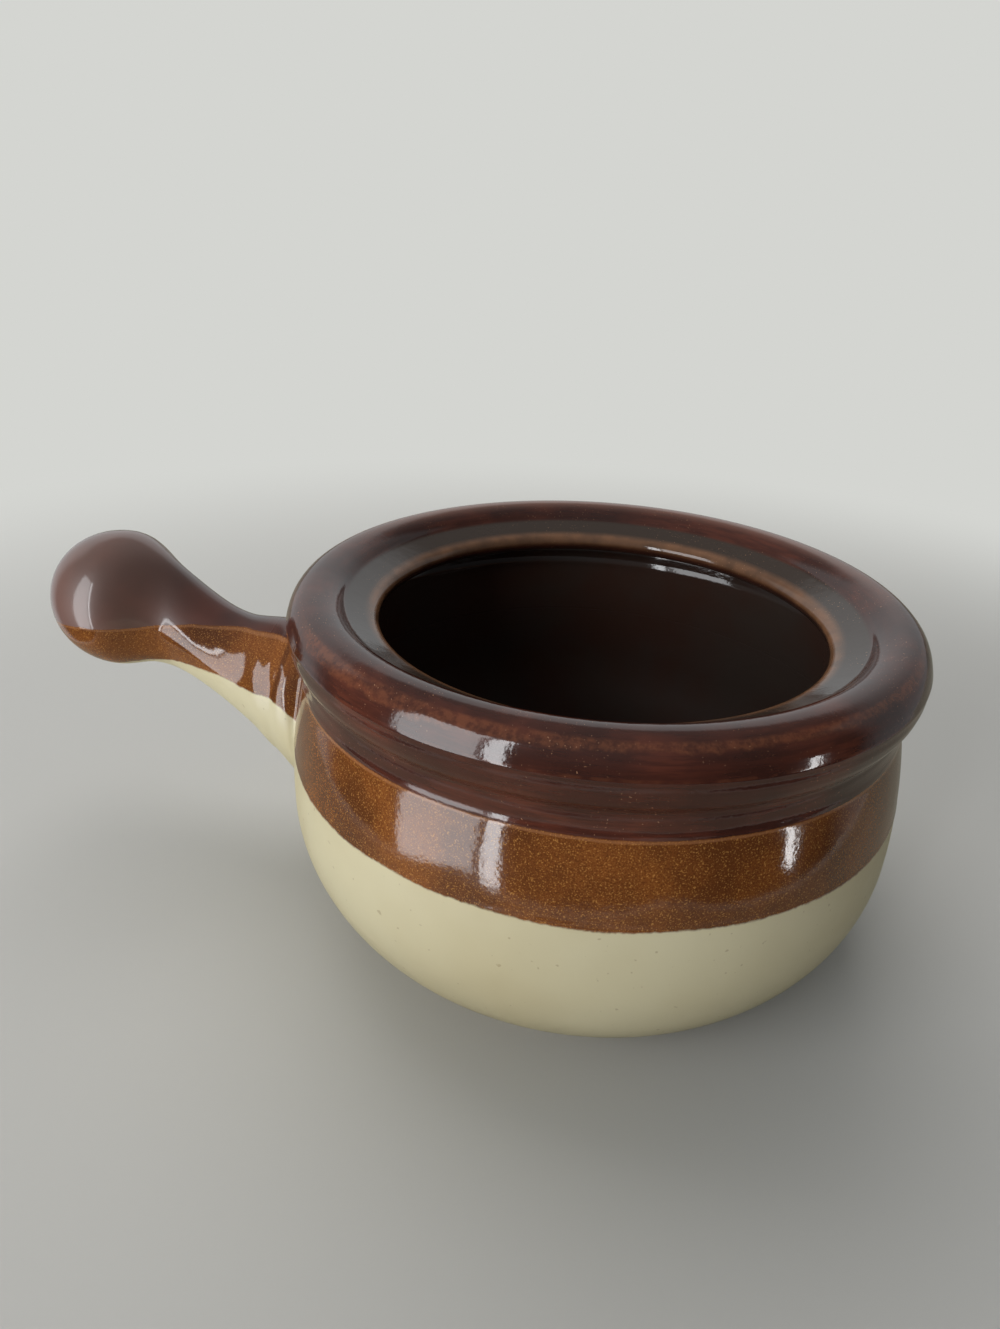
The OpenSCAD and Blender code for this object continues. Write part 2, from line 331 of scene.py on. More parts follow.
def past(s, start, end):
    """How far a place lies past one on the way to another, 0 to 1."""
    return np.clip((start - s) / (start - end), 0, 1)


TIP_AT = BELLY_R + HANDLE_L
KNOB_AT = TIP_AT - KNOB_END
UNDER_AT = KNOB_AT - UNDER_IN
WAIST_AT = BELLY_R + WAIST_OFF
TOP_AT = BELLY_R + TOP_OFF
ROOT_AT = float(belly_r(ROOT_Z))
COLLAR_AT = BELLY_R + COLLAR_OFF
KNOB_Z = BOWL_H - KNOB_DROP
UNDER_Z = BOWL_H - UNDER_DROP
TOP_LOW = BOWL_H - TOP_DROP
ROOT_TOP = BOWL_H - ROOT_DROP

# The grip's small forms: the root's flare, the pad and the groove beside the joint, and the
# soft ridge along the sides, from the root to the knob
ROOT_FLARE = 1.1
PAD_AT, PAD_OUT, PAD_L = 72.5, 0.8, 3.0
CREASE_AT, CREASE_IN, CREASE_L, CREASE_LEAN, CREASE_Z = 67.6, 0.28, 0.55, 0.17, 48
RIDGE_OUT, RIDGE_UP = 1.2, 1.4
RIDGE_START, RIDGE_RISE_L, RIDGE_END, RIDGE_FALL_L = 56, 9, 109, 20


def collar(s):
    return COLLAR_RISE * np.exp(-((s - COLLAR_AT) / (COLLAR_L / 2)) ** 2)


def top_z(s):
    rise = (ROOT_TOP - TOP_LOW) * past(s, TOP_AT, BELLY_R) ** 2
    neck_part = TOP_LOW + (KNOB_Z + KNOB_D / 2 - TOP_LOW) * swing(s, KNOB_AT, TOP_AT)
    return neck_part + rise + collar(s)


def under_z(s):
    fall = (UNDER_Z - ROOT_Z) * past(s, UNDER_AT, ROOT_AT) ** BEND_POWER
    return UNDER_Z + (KNOB_Z - KNOB_D / 2 - UNDER_Z) * swing(s, KNOB_AT, UNDER_AT) - fall


def half_w(s):
    flare = (ROOT_W - GRIP_D) / 2 * ROOT_FLARE * past(s, WAIST_AT, BELLY_R) ** 2
    pad = PAD_OUT * np.exp(-((s - PAD_AT) / PAD_L) ** 2)
    return GRIP_D / 2 + (KNOB_D - GRIP_D) / 2 * swing(s, KNOB_AT, WAIST_AT) + flare + pad + collar(s)


def crease(s, z):
    """The shallow groove where the smoothed joint ends on the grip."""
    return CREASE_IN * np.exp(-((s - CREASE_AT + CREASE_LEAN * (z - CREASE_Z)) / CREASE_L) ** 2)


def section(s, angle, grow):
    """The point of the handle's skin at a place and an angle round it."""
    end = np.sqrt(np.clip(1 - (np.maximum(s - KNOB_AT, 0) / KNOB_END) ** 2, 0, 1))
    high, low, wide = top_z(s), under_z(s), half_w(s)
    mid = np.where(s > KNOB_AT, KNOB_Z, (high + low) / 2)
    tall = np.where(s > KNOB_AT, KNOB_D / 2 * end, (high - low) / 2)
    wide = np.where(s > KNOB_AT, KNOB_D / 2 * end, wide)
    # a soft ridge along the grip's sides, a little above their middle
    start = np.clip((s - RIDGE_START) / RIDGE_RISE_L, 0, 1)
    ridge = start * np.clip((RIDGE_END - s) / RIDGE_FALL_L, 0, 1)
    ridge = ridge * ridge * (3 - 2 * ridge)
    beside = np.cos(angle) ** 2
    sharp = RIDGE_OUT * ridge * beside ** 3 * np.sign(np.cos(angle))
    rise = RIDGE_UP * ridge * beside ** 2
    grow = grow + GLAZE_T - crease(s, mid + tall * np.sin(angle))
    out = s + GLAZE_T * np.maximum(s - KNOB_AT, 0) / KNOB_END
    across = (wide + grow) * np.cos(angle) + sharp
    return np.stack([-out, across, mid + (tall + grow) * np.sin(angle) + rise], -1)


crest_row = int(np.argmax(outline[:, 1]))


def wall_r(z):
    """Radius of the softened outside at a height, up to the rim."""
    return np.interp(z, outline[:crest_row, 1], outline[:crest_row, 0])


def wall_gap(p):
    """Distance of a point from the bowl's outside."""
    return np.hypot(p[..., 0], p[..., 1]) - wall_r(p[..., 2])


# The fillet at the wall, the distances from the wall of the rings in it, the number of rings
# from there to the grip's end, and the places of the rest
FILLET = 1.6
FILLET_SHARE = 0.55
NEAR = np.array([-0.3, -0.05, 0.05, 0.2, 0.45, 0.8, 1.2, 1.7, 2.4])
SPREAD = 44
FLAT = np.concatenate([
    np.linspace(UNDER_AT, KNOB_AT, 10),
    KNOB_AT + KNOB_END * np.sin(np.radians(np.linspace(0, 90, 22)[1:-1])),
])
RINGS = len(NEAR) + SPREAD + len(FLAT) - 1
SEARCH_FROM = 50.0


def fillet(gap):
    """How far the skin flares out close to the wall."""
    k = np.clip((FILLET - gap) / FILLET, 0, 1)
    return FILLET * (1 - np.sqrt(np.clip(1 - k ** 2, 0, 1))) * FILLET_SHARE


def skin_point(ring, angle):
    """Point of the skin on one ring: rings close to the wall follow it, and the rest are flat."""
    angle = np.asarray(angle, float)
    if ring < len(NEAR):
        gap = NEAR[ring]
        grow = fillet(max(gap, 0.0))
        lo = np.full(angle.shape, SEARCH_FROM)
        hi = np.full(angle.shape, UNDER_AT)
        for _ in range(40):
            mid = (lo + hi) / 2
            over = wall_gap(section(mid, angle, grow)) > gap
            hi = np.where(over, mid, hi)
            lo = np.where(over, lo, mid)
        return section((lo + hi) / 2, angle, grow)
    k = (ring - len(NEAR) + 1) / SPREAD
    if k <= 1:
        start = -skin_point(len(NEAR) - 1, angle)[..., 0]
        return section(start + (UNDER_AT - start) * k, angle, 0.0)
    return section(np.full(angle.shape, FLAT[ring - len(NEAR) - SPREAD + 1]), angle, 0.0)


# Heights of the two glaze edges along the handle, as places from the axis and heights
BROWN_LINE = [(0, 58.1), (60, 58.2), (66, 57.2), (76, 57.2), (84, 57.7), (90, 58.4), (101, 57.4),
              (111, 58.4), (118, 57.4), (127, 56.2)]
AMBER_LINE = [(0, 42.3), (62, 42.4), (66, 45.4), (70, 46.4), (77, 46.7), (82, 48.0), (90, 48.4),
              (100, 47.6), (108, 47.0), (127, 47.2)]


def line_z(line, s):
    """Height of a glaze edge at a place."""
    return np.interp(s, [p[0] for p in line], [p[1] for p in line])


def edge_angle(ring, line):
    """Angle on the handle's side at which a ring crosses a glaze edge, or an end of the range."""
    lo, hi = -90.0, 90.0
    for _ in range(30):
        mid = (lo + hi) / 2
        p = skin_point(ring, np.radians(mid))
        if p[2] > line_z(line, -p[0]):
            hi = mid
        else:
            lo = mid
    return (lo + hi) / 2


# Faces on each half of a ring for each glaze, and the least angle that one takes
BROWN_STEPS, AMBER_STEPS, CREAM_STEPS = 16, 16, 24
LEAST = 6.0
grid = []
brown_cut = []
amber_cut = []
for ring in range(RINGS):
    upper = edge_angle(ring, BROWN_LINE)
    lower = edge_angle(ring, AMBER_LINE)
    brown_cut.append(upper > -90 + 2 * LEAST)
    amber_cut.append(lower > -90 + LEAST)
    upper = min(max(upper, -90 + 2 * LEAST), 90 - LEAST)
    lower = min(max(lower, -90 + LEAST), upper - LEAST)
    right = np.concatenate([
        np.linspace(90, upper, BROWN_STEPS, endpoint=False),
        np.linspace(upper, lower, AMBER_STEPS, endpoint=False),
        np.linspace(lower, -90, CREAM_STEPS, endpoint=False),
    ])
    left = -180 - np.concatenate([right, [-90]])[:0:-1]
    grid.append(skin_point(ring, np.radians(np.concatenate([right, left]))))
grid = np.array(grid)
cols = grid.shape[1]
handle_verts = np.concatenate([grid.reshape(-1, 3), [[-TIP_AT - GLAZE_T + 0.02, 0, KNOB_Z]]])
cap = fan((RINGS - 1) * cols, cols, len(handle_verts) - 1)
handle_faces = np.concatenate([grid_faces(RINGS, cols), cap])
col_of = np.concatenate([np.tile(np.arange(cols), RINGS - 1), np.arange(cols)])
ring_of = np.concatenate([np.repeat(np.arange(RINGS - 1), cols), np.full(cols, RINGS - 1)])
side = np.minimum(col_of, cols - 1 - col_of)
cut_b = np.array(brown_cut + [brown_cut[-1]])[ring_of]
cut_a = np.array(amber_cut + [amber_cut[-1]])[ring_of]
is_brown = (side < BROWN_STEPS) | ~cut_b
is_cream = (side >= BROWN_STEPS + AMBER_STEPS) & cut_a & ~is_brown
is_amber = ~is_brown & ~is_cream


# Materials

class Net:
    """A node tree with short ways to add nodes."""

    def __init__(self, tree):
        self.tree = tree
        self.tree.nodes.clear()

    def add(self, kind, inputs=None, **settings):
        n = self.tree.nodes.new(kind)
        for key, value in settings.items():
            setattr(n, key, value)
        for key, value in (inputs or {}).items():
            if isinstance(value, bpy.types.NodeSocket):
                self.tree.links.new(value, n.inputs[key])
            else:
                n.inputs[key].default_value = value
        return n

    def math(self, kind, a, b=0.0):
        """One sum of two values."""
        return self.add("ShaderNodeMath", {0: a, 1: b}, operation=kind).outputs[0]

    def product(self, first, *rest):
        """All the values multiplied."""
        for value in rest:
            first = self.math("MULTIPLY", first, value)
        return first

    def scaled(self, value, by, plus=0.0):
        """A value times a number, plus a number."""
        inputs = {0: value, 1: by, 2: plus}
        return self.add("ShaderNodeMath", inputs, operation="MULTIPLY_ADD").outputs[0]

    def noise(self, scale, detail=2.0, rough=0.5, place=None):
        """Noise over the piece."""
        inputs = {"Vector": place or self.place, "Scale": scale, "Detail": detail, "Roughness": rough}
        return self.add("ShaderNodeTexNoise", inputs).outputs["Fac"]

    def step(self, value, low, high, to_low=0.0, to_high=1.0):
        """A smooth step from one value to another."""
        inputs = {"Value": value, "From Min": low, "From Max": high, "To Min": to_low, "To Max": to_high}
        return self.add("ShaderNodeMapRange", inputs, interpolation_type="SMOOTHSTEP").outputs[0]

    def zone(self, value, low, high, to_low=0.0, to_high=1.0):
        """The same step between two places in millimetres."""
        return self.step(value, low * MM, high * MM, to_low, to_high)

    def mix(self, share, a, b):
        """One colour mixed into another."""
        n = self.add("ShaderNodeMix", data_type="RGBA")
        for socket, value in ((n.inputs[0], share), (n.inputs[6], a), (n.inputs[7], b)):
            if isinstance(value, bpy.types.NodeSocket):
                self.tree.links.new(value, socket)
            else:
                socket.default_value = value
        return n.outputs[2]

    def line(self, value, points, low, high):
        """Height of a glaze edge at a place, from a curve through points."""
        start, stop = points[0][0], points[-1][0]
        inputs = {"Value": value, "From Min": start * MM, "From Max": stop * MM}
        place = self.add("ShaderNodeMapRange", inputs).outputs[0]
        n = self.add("ShaderNodeFloatCurve", {"Value": place})
        curve = n.mapping.curves[0]
        marks = [((s - start) / (stop - start), (z - low) / (high - low)) for s, z in points]
        curve.points[0].location = marks[0]
        curve.points[1].location = marks[-1]
        for mark in marks[1:-1]:
            curve.points.new(*mark)
        for point in curve.points:
            point.handle_type = "VECTOR"
        n.mapping.update()
        return self.scaled(n.outputs[0], (high - low) * MM, low * MM)


def painted(name):
    """A new material's net, its material and the place on the piece."""
    material = bpy.data.materials.new(name)
    material.use_nodes = True
    net = Net(material.node_tree)
    net.place = net.add("ShaderNodeTexCoord").outputs["Object"]
    return net, material


def colour(r, g, b):
    """A colour given as 0 to 255 in display values, as the shader takes it."""

    def plain(v):
        v = v / 255
        return v / 12.92 if v <= 0.04045 else ((v + 0.055) / 1.055) ** 2.4
    return (plain(r), plain(g), plain(b), 1.0)


CREAM_LIGHT = colour(210, 201, 168)
CREAM_DARK = colour(197, 185, 149)
CREAM_SPECK = colour(146, 122, 84)
AMBER_LIGHT = colour(130, 75, 31)
AMBER_DARK = colour(88, 48, 21)
AMBER_DEEP = colour(72, 36, 16)
AMBER_SPECK = colour(214, 156, 80)
BROWN_RED = colour(88, 44, 31)
BROWN_DARK = colour(62, 31, 23)
BROWN_DEEP = colour(46, 24, 19)
BROWN_BREAK = colour(132, 78, 50)
BROWN_SPECK = colour(206, 156, 118)
# painted sheen: a lighter, greyer brown for the far crest's top, standing in for reflected light
BROWN_SHEEN_PAINT = colour(136, 100, 87)
# painted sheen: a lighter, greyer brown for the knob, standing in for the haze of reflected light on it
KNOB_SHEEN_PAINT = colour(140, 108, 96)
SEAT_GREY = colour(58, 46, 38)
LIP_TAN = colour(134, 94, 66)
INSIDE_DARK = colour(66, 55, 49)
INSIDE_RED = colour(68, 46, 38)
# partly the brown's own lighter edge colour, partly a painted highlight on the glaze's step
EDGE_PALE_AND_HIGHLIGHT = colour(168, 116, 76)
CLAY_DARK = colour(176, 156, 122)
CLAY_LIGHT = colour(206, 190, 156)
CLAY_GRIT = colour(120, 94, 66)
BACKDROP = colour(212, 213, 209)
FLOOR_SEEN = colour(199, 198, 194)
TABLE = colour(146, 142, 128)
TABLE_MIRRORED = colour(150, 146, 132)
TABLE_EDGE = colour(240, 238, 232)


# The range of heights that holds both glaze edges, and how far each edge waves, slowly and finely
EDGES_LOW, EDGES_HIGH = 40, 70
BROWN_WAVES = (0.7, 0.25)
AMBER_WAVES = (1.8, 0.7)


def measure(net):
    """Gives a glaze's net the distances that it paints by."""
    net.x, net.y, net.z = net.add("ShaderNodeSeparateXYZ", {0: net.place}).outputs
    net.flat = net.add("ShaderNodeCombineXYZ", {0: net.x, 1: net.y}).outputs[0]
    net.r = net.add("ShaderNodeVectorMath", {0: net.flat}, operation="LENGTH").outputs["Value"]
    net.out = net.math("MULTIPLY", net.x, -1.0)
    net.on_bowl = net.zone(net.r, 64.6, 64.2)


def edge_heights(net):
    """Heights over the brown's lower edge and the amber's, with their waves."""
    slow = net.math("SUBTRACT", net.noise(38, 1.5), 0.5)
    fine = net.math("SUBTRACT", net.noise(900, 2.0), 0.5)
    found = []
    for line, waves in ((BROWN_LINE, BROWN_WAVES), (AMBER_LINE, AMBER_WAVES)):
        over = net.math("SUBTRACT", net.z, net.line(net.out, line, EDGES_LOW, EDGES_HIGH))
        over = net.math("ADD", over, net.scaled(slow, waves[0] * MM))
        found.append(net.math("ADD", over, net.scaled(fine, waves[1] * MM)))
    return found


def cream_paint(net):
    """Soft clouds of cream with a few brown specks."""
    cream = net.mix(net.step(net.noise(22, 3.0), 0.3, 0.7), CREAM_DARK, CREAM_LIGHT)
    return net.mix(net.step(net.noise(800, 1.0), 0.73, 0.79, 0.0, 0.45), cream, CREAM_SPECK)


def amber_paint(net):
    """Amber with dense golden grain and darker grain between."""
    grain = net.noise(3700, 1.0)
    amber = net.mix(net.step(net.noise(48, 4.0, 0.6), 0.32, 0.68), AMBER_DARK, AMBER_LIGHT)
    amber = net.mix(net.step(grain, 0.48, 0.32, 0.0, 0.5), amber, AMBER_DEEP)
    return net.mix(net.step(grain, 0.56, 0.74, 0.0, 0.45), amber, AMBER_SPECK)


def brown_paint(net):
    """Brown with the wheel's streaks, its breaks, the seat and lip, pinholes, and painted sheen on the far
    crest and the knob.
    """
    drawn = net.add("ShaderNodeVectorMath", {0: net.place, 1: (0.09, 0.09, 1.0)}, operation="MULTIPLY")
    streak = net.step(net.noise(1300, 3.0, 0.6, drawn.outputs[0]), 0.35, 0.65, 0.55, 0.0)
    brown = net.mix(net.step(net.noise(60, 3.0), 0.35, 0.65), BROWN_DARK, BROWN_RED)
    brown = net.mix(net.product(net.on_bowl, streak), brown, BROWN_DEEP)
    # the glaze runs thin and rusty over the crest's outer edge, widest at the left front
    facing = net.add("ShaderNodeVectorMath", {0: net.flat, 1: (-0.62, -0.78, 0.0)}, operation="DOT_PRODUCT")
    facing = net.step(net.math("DIVIDE", facing.outputs["Value"], net.r), 0.72, 0.98)
    ragged = net.math("SUBTRACT", net.noise(240, 4.0, 0.65), 0.5)
    low_edge = net.math("ADD", net.scaled(facing, -1.1 * MM, 74.35 * MM), net.scaled(ragged, 2.4 * MM))
    crest = net.product(
        net.zone(net.math("SUBTRACT", net.z, low_edge), -0.35, 0.35),
        net.zone(net.z, 75.5, 75.1),
        net.zone(net.r, 59.7, 60.3),
        net.on_bowl,
        net.zone(net.x, -56, -44),
        net.step(net.noise(700, 3.0, 0.7), 0.36, 0.64, 0.08, 0.42))
    brown = net.mix(crest, brown, BROWN_BREAK)
    # and over the roll's arris
    arris = net.product(
        net.zone(net.math("ABSOLUTE", net.scaled(net.z, 1.0, -70.45 * MM)), 0.4, 0.1),
        net.step(net.noise(300, 2.0), 0.4, 0.6),
        net.on_bowl,
        net.zone(net.r, 60, 62, 0.0, 0.16))
    brown = net.mix(arris, brown, BROWN_BREAK)
    # painted sheen: the far crest's top is lightened and greyed to stand in for the pale wall's reflection
    # in the glaze
    far_crest_sheen = net.product(
        net.zone(net.z, 72.5, 75.5),
        net.zone(net.y, -10, 45, 0.0, 0.8),
        net.zone(net.r, 54, 58))
    brown = net.mix(far_crest_sheen, brown, BROWN_SHEEN_PAINT)
    seat = net.product(net.zone(net.r, 52.6, 51.8), net.zone(net.z, 68.0, 69.5))
    brown = net.mix(seat, brown, SEAT_GREY)
    lip = net.product(
        net.zone(net.r, 48.6, 46.6),
        net.zone(net.z, 67.6, 69.2),
        net.step(net.noise(180, 3.0), 0.25, 0.7, 0.35, 0.85))
    brown = net.mix(lip, brown, LIP_TAN)
    # pinholes, on the bowl alone, and painted sheen: the grip's outer end and the knob lightened and greyed
    # to stand in for the haze of reflected light on them
    pin = net.product(
        net.step(net.noise(3600, 0.0), 0.78, 0.84),
        net.step(net.noise(70, 1.0), 0.45, 0.6),
        net.zone(net.out, 80, 64, 0.0, 0.55))
    brown = net.mix(pin, brown, BROWN_SPECK)
    return net.mix(net.zone(net.out, 84, 104, 0.0, 0.32), brown, KNOB_SHEEN_PAINT)


def edge_paint(net, base, over_brown, share_amber):
    """The brown's pale hem, partly its own lighter edge and partly a painted highlight on the glaze's step,
    and painted shade darkening the amber in the groove on the grip.
    """
    # partly the brown's own lighter edge, partly a painted highlight on the step at its lower edge
    hem_and_highlight = net.math("ABSOLUTE", net.scaled(over_brown, 1.0, 0.35 * MM))
    base = net.mix(net.zone(hem_and_highlight, 0.4, 0.1, 0.0, 0.4), base, EDGE_PALE_AND_HIGHLIGHT)
    # painted shade: darker amber along the same leaning line as the groove's
    leaning = net.math("ADD", net.scaled(net.z, CREASE_LEAN, -CREASE_LEAN * CREASE_Z * MM),
                       net.scaled(net.out, 1.0, -CREASE_AT * MM))
    groove_shade = net.product(
        net.zone(net.math("ABSOLUTE", leaning), 0.9, 0.2, 0.0, 0.6),
        share_amber,
        net.zone(net.r, 64.6, 65.4))
    return net.mix(groove_shade, base, AMBER_DEEP)


def glaze(name, roughness, inside=False):
    """A glaze: its colour goes by height from cream over amber to brown, as the dips left it."""
    net, material = painted(name)
    measure(net)
    over_brown, over_amber = edge_heights(net)
    brown = brown_paint(net)
    share_amber = net.zone(over_amber, -0.3, 0.3)
    share_brown = net.zone(over_brown, -0.15, 0.15)
    if inside:
        dark = net.mix(net.step(net.noise(40, 3.0), 0.3, 0.7), INSIDE_DARK, INSIDE_RED)
        base = net.mix(net.zone(net.z, 66.0, 68.5), dark, brown)
    else:
        base = net.mix(share_amber, cream_paint(net), amber_paint(net))
        base = net.mix(share_brown, base, brown)
        base = edge_paint(net, base, over_brown, share_amber)
    bump = net.add("ShaderNodeBump", {"Height": net.noise(130, 2.0), "Strength": 0.2, "Distance": 0.4 * MM})
    grit = net.add("ShaderNodeBump", {
        "Height": net.noise(1400, 1.0), "Strength": 0.10, "Distance": 0.12 * MM, "Normal": bump.outputs[0]})
    # the knob's brown is hazy under a thin clear layer
    hazy = net.product(share_brown, net.zone(net.out, 66, 80))
    look = {"Base Color": base, "Normal": grit.outputs[0], "IOR": 1.62,
            "Coat Weight": hazy, "Coat Roughness": 0.12}
    if inside:
        # the hollow gets duller towards its floor
        deep = net.zone(net.z, 58, 32)
        look["Specular IOR Level"] = net.scaled(deep, -0.44, 0.5)
        look["Roughness"] = net.scaled(deep, 0.45, roughness)
    else:
        rough = net.step(net.noise(120, 3.0), 0.2, 0.8, roughness * 0.8, roughness * 1.25)
        look["Roughness"] = net.math("ADD", rough, net.scaled(hazy, 0.4))
    shader = net.add("ShaderNodeBsdfPrincipled", look)
    net.add("ShaderNodeOutputMaterial", {0: shader.outputs[0]})
    return material


def clay(name):
    """Bare fired stoneware with fine grit."""
    net, material = painted(name)
    base = net.mix(net.step(net.noise(120, 4.0), 0.3, 0.7), CLAY_DARK, CLAY_LIGHT)
    base = net.mix(net.step(net.noise(1500, 1.0), 0.62, 0.72, 0.0, 0.6), base, CLAY_GRIT)
    grit = net.add("ShaderNodeBump", {"Height": net.noise(1100, 3.0), "Strength": 0.5, "Distance": 0.2 * MM})
    rough = net.step(net.noise(200, 2.0), 0.3, 0.7, 0.75, 0.95)
    shader = net.add("ShaderNodeBsdfPrincipled", {
        "Base Color": base, "Roughness": rough, "Normal": grit.outputs[0]})
    net.add("ShaderNodeOutputMaterial", {0: shader.outputs[0]})
    return material


brown_mat = glaze("brown_glaze", 0.10)
inside_mat = glaze("brown_glaze_inside", 0.08, inside=True)
amber_mat = glaze("amber_glaze", 0.09)
cream_mat = glaze("cream_glaze", 0.37)
clay_mat = clay("clay")

# The bowl's coats
rows = len(outline) - 1
bowl_verts = np.concatenate([bowl_grid[:rows].reshape(-1, 3), [[0, 0, FLOOR_Z]]])
centre = len(bowl_verts) - 1
bowl_faces = np.concatenate([grid_faces(rows, TURNS), fan((rows - 1) * TURNS, TURNS, centre)])
row_of = np.concatenate([np.repeat(np.arange(rows - 1), TURNS), np.full(TURNS, rows - 1)])
bowl_normals = point_normals(bowl_verts, bowl_faces)


ROOT_INSET = 1.2


def under_root(points):
    """Which points lie inside the handle's root, where its clay meets the bowl's."""
    s = -points[:, 0]
    mid = (top_z(s) + under_z(s)) / 2
    tall = (top_z(s) - under_z(s)) / 2 - ROOT_INSET
    wide = half_w(s) - ROOT_INSET
    return (s > SEARCH_FROM) & ((points[:, 1] / wide) ** 2 + ((points[:, 2] - mid) / tall) ** 2 < 1)


face_mid = bowl_verts[bowl_faces].mean(axis=1)
bare = under_root(face_mid)
spans = [
    ("cream_glaze_belly", 0, ends[0], cream_mat, "cream_glaze"),
    ("amber_glaze_band", ends[0], ends[1], amber_mat, "amber_glaze"),
    ("brown_glaze_rim", ends[1], ends[2], brown_mat, "brown_glaze"),
    ("brown_glaze_lining", ends[2], rows, inside_mat, "brown_glaze"),
]
for node_name, first, stop, material, slot_name in spans:
    chosen = (row_of >= first) & (row_of < stop) & ~(bare & (row_of < ends[2]))
    shell(node_name + "_coat", bowl_verts, bowl_normals, bowl_faces[chosen],
          material, slot_name, node_name)

# The handle's coats
handle_normals = point_normals(handle_verts, handle_faces)
for node_name, chosen, material, slot_name in (
        ("brown_glaze_handle", is_brown, brown_mat, "brown_glaze"),
        ("amber_glaze_handle", is_amber, amber_mat, "amber_glaze"),
        ("cream_glaze_handle", is_cream, cream_mat, "cream_glaze")):
    shell(node_name + "_coat", handle_verts, handle_normals, handle_faces[chosen],
          material, slot_name, node_name)

# Solids that keep their own mesh under the coats
for node_name, material in (("bowl_body", clay_mat), ("handle", clay_mat), ("joining_slip", clay_mat),
                            ("cream_glaze_base", cream_mat)):
    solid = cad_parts[node_name]
    for k in range(len(solid.material_slots)):
        solid.material_slots[k].material = material
    if not solid.material_slots:
        solid.data.materials.append(material)

# Floor and backdrop: the camera sees one pale surface that runs into the wall's colour, and the
# glaze sees a grey table that ends in front of the bowl, with the room beyond its edge
bpy.ops.mesh.primitive_plane_add(size=12, location=(0, 0, 0))
floor = bpy.context.object
floor.name = "floor"
ground, floor_mat = painted("floor_paint")
at = ground.add("ShaderNodeNewGeometry").outputs["Position"]
across, away = ground.add("ShaderNodeSeparateXYZ", {0: at}).outputs[:2]
rays = ground.add("ShaderNodeLightPath").outputs
far = ground.add("ShaderNodeVectorMath", {0: at}, operation="LENGTH").outputs["Value"]
# distance from the table's front edge, which runs straight and bends back at both sides, in metres
EDGE_AT, SIDE_AT, SIDE_SLOPE = 0.15, 0.254, -1.4
side_edge = ground.scaled(ground.math("ABSOLUTE", across), SIDE_SLOPE, SIDE_AT)
edge = ground.math("MINIMUM", ground.math("ADD", away, side_edge), ground.math("ADD", away, EDGE_AT))
table = ground.mix(rays["Is Glossy Ray"], TABLE, TABLE_MIRRORED)
table = ground.mix(ground.step(edge, 0.016, 0.004, 0.0, 0.6), table, TABLE_EDGE)
paint = ground.add("ShaderNodeBsdfPrincipled", {
    "Base Color": ground.mix(rays["Is Camera Ray"], table, FLOOR_SEEN), "Roughness": 0.75})
haze = ground.add("ShaderNodeEmission", {"Color": BACKDROP})
seen = ground.add("ShaderNodeMixShader", {
    0: ground.product(rays["Is Camera Ray"], ground.step(far, 0.19, 0.42)),
    1: paint.outputs[0], 2: haze.outputs[0]})
past_edge = ground.product(
    ground.step(edge, 0.006, -0.006),
    ground.math("MAXIMUM", rays["Is Glossy Ray"], rays["Is Shadow Ray"]))
gone = ground.add("ShaderNodeBsdfTransparent")
whole_floor = ground.add("ShaderNodeMixShader", {0: past_edge, 1: seen.outputs[0], 2: gone.outputs[0]})
ground.add("ShaderNodeOutputMaterial", {0: whole_floor.outputs[0]})
floor.data.materials.append(floor_mat)

# The room: a pale wall behind the bowl, dim above and to the right
WALL_LIGHT = 0.50
ROOM_TINT = (0.94, 0.98, 1.0, 1.0)
world = bpy.data.worlds.new("studio")
bpy.context.scene.world = world
world.use_nodes = True
air = Net(world.node_tree)
aim = air.add("ShaderNodeTexCoord").outputs["Generated"]
aim_x, aim_y, aim_z = air.add("ShaderNodeSeparateXYZ", {0: aim}).outputs
level = air.math("ADD", air.product(aim_x, aim_x), air.product(aim_y, aim_y))
behind = air.math("DIVIDE", aim_y, air.math("MAXIMUM", air.math("POWER", level, 0.5), 0.01))
wall = air.product(air.step(behind, 0.02, 0.3), air.step(aim_z, 0.70, 0.55), WALL_LIGHT)
strength = air.product(
    air.math("ADD", wall, air.step(aim_z, -0.3, 0.9, 0.05, 0.22)),
    air.step(aim_x, 0.0, 0.8, 1.0, 0.45))
room = air.add("ShaderNodeBackground", {"Color": ROOM_TINT, "Strength": strength})
backdrop = air.add("ShaderNodeBackground", {"Color": BACKDROP})
eye = air.add("ShaderNodeLightPath").outputs["Is Camera Ray"]
sky = air.add("ShaderNodeMixShader", {0: eye, 1: room.outputs[0], 2: backdrop.outputs[0]})
air.add("ShaderNodeOutputWorld", {0: sky.outputs[0]})


# Lamps

def area_lamp(name, width, tall, bright, tint, placed):
    """A rectangular lamp, hidden from the camera."""
    data = bpy.data.lights.new(name, "AREA")
    data.shape = "RECTANGLE"
    data.size = width
    data.size_y = tall
    data.energy = bright * math.pi * width * tall
    data.color = tint
    lamp = bpy.data.objects.new(name, data)
    lamp.matrix_world = placed
    lamp.visible_camera = False
    bpy.context.scene.collection.objects.link(lamp)
    return lamp


def window(name, azimuth, distance, low_z, high_z, width, bright, tint):
    """An upright lamp that shows in the glaze as a window does."""
    a = math.radians(azimuth)
    facing = np.array([math.sin(a), -math.cos(a), 0.0])
    place = facing * distance + [0, 0, (low_z + high_z) / 2]
    right = np.cross([0, 0, 1], facing)
    rows_of = [[right[k], float(k == 2), facing[k], place[k]] for k in range(3)]
    area_lamp(name, width, high_z - low_z, bright, tint, Matrix(rows_of + [[0, 0, 0, 1]]))


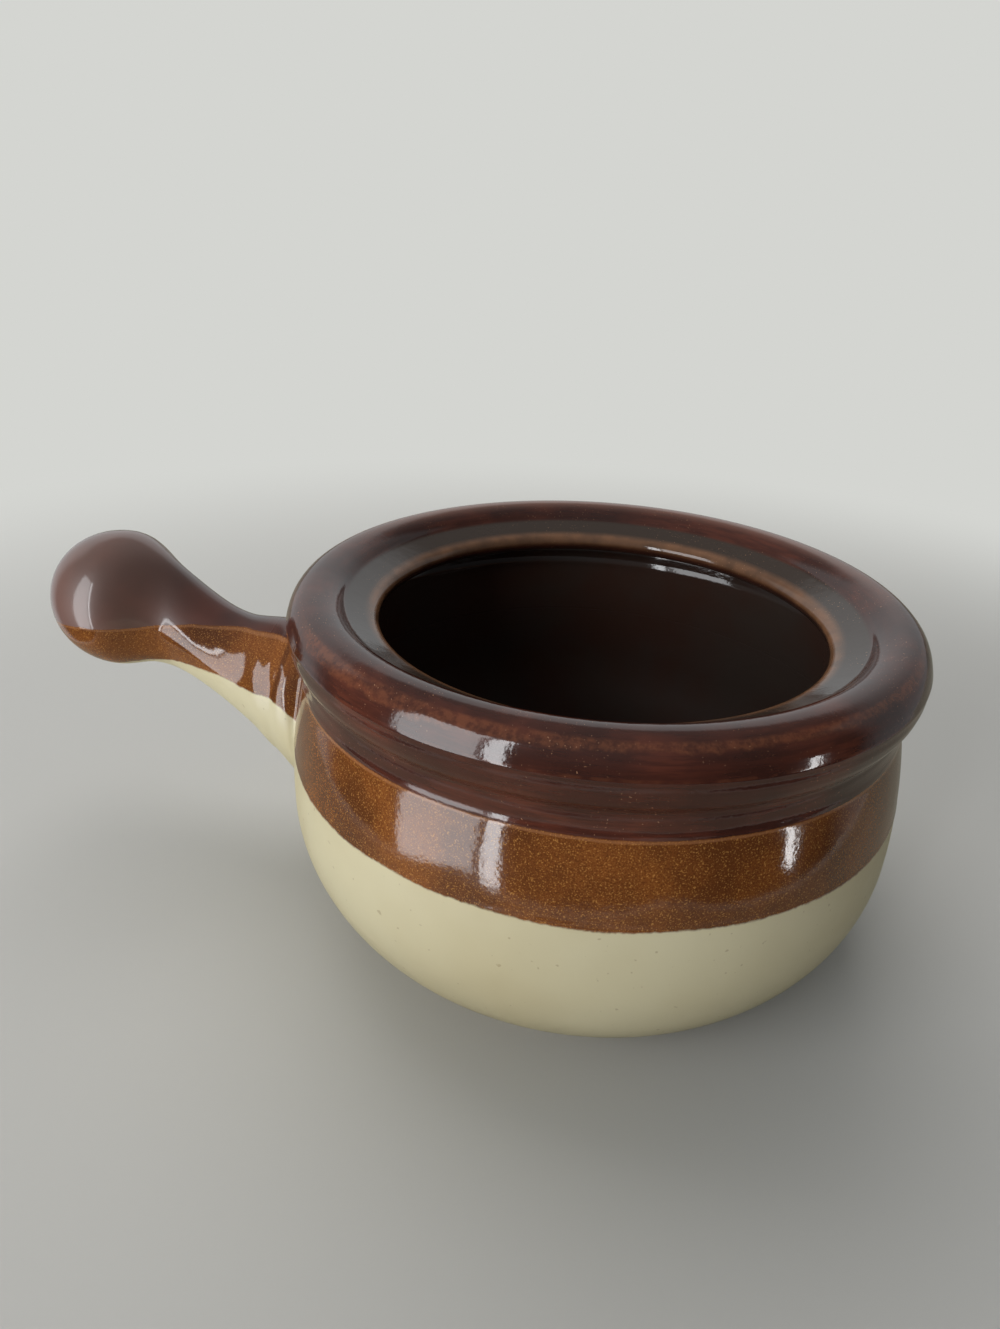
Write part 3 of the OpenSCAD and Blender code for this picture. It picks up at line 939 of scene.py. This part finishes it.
# name, azimuth from the front, distance, foot and head (metres), width, brightness, tint
DAYLIGHT = (0.96, 0.98, 1.0)
window("window_left", -43.5, 0.9, -0.42, 0.75, 0.465, 3.8, DAYLIGHT)
window("window_right_pane", -23.5, 0.9, -0.42, 0.75, 0.094, 8.0, DAYLIGHT)
window("side_strip", 75.0, 1.2, -0.42, 0.03, 0.07, 9.0, (1.0, 1.0, 1.0))
CEILING_W = 0.9
CEILING_AT = (-0.3, 0.45, 0.9)
ceiling = area_lamp("ceiling", CEILING_W, CEILING_W, 2.3, (1.0, 0.985, 0.96), Matrix.Translation(CEILING_AT))
ceiling.visible_glossy = False

# The photograph's camera: rows of the turning matrix are right, down and forward
PITCH, ROLL, YAW = 26.75, 2.56, 10.49
FOCUS_PX, FRAME_W = 880.0, 1000.0
CAMERA_AT = (10.651, -169.295, 141.12)


def turned_by(pitch, roll, yaw):
    """The camera's turning matrix from three angles in degrees."""
    p, r, a = (math.radians(v) for v in (pitch, roll, yaw))
    spin = np.array([[math.cos(a), math.sin(a), 0], [-math.sin(a), math.cos(a), 0], [0, 0, 1]])
    lay = np.array([[1, 0, 0], [0, 0, -1], [0, 1, 0]])
    tip_down = np.array([[1, 0, 0], [0, math.cos(p), -math.sin(p)], [0, math.sin(p), math.cos(p)]])
    lean = np.array([[math.cos(r), -math.sin(r), 0], [math.sin(r), math.cos(r), 0], [0, 0, 1]])
    return lean @ tip_down @ lay @ spin


axes = turned_by(PITCH, ROLL, YAW)
cam_data = bpy.data.cameras.new("photo_camera")
cam_data.sensor_fit = "HORIZONTAL"
cam_data.sensor_width = 36.0
cam_data.lens = 36.0 * FOCUS_PX / FRAME_W
cam_data.clip_start = 0.01
cam_data.clip_end = 50.0
camera = bpy.data.objects.new("photo_camera", cam_data)
bpy.context.scene.collection.objects.link(camera)
camera.matrix_world = Matrix([
    [axes[0][k], -axes[1][k], -axes[2][k], CAMERA_AT[k] * MM] for k in range(3)] + [[0, 0, 0, 1]])
bpy.context.scene.camera = camera
bpy.context.scene.view_settings.view_transform = "Standard"
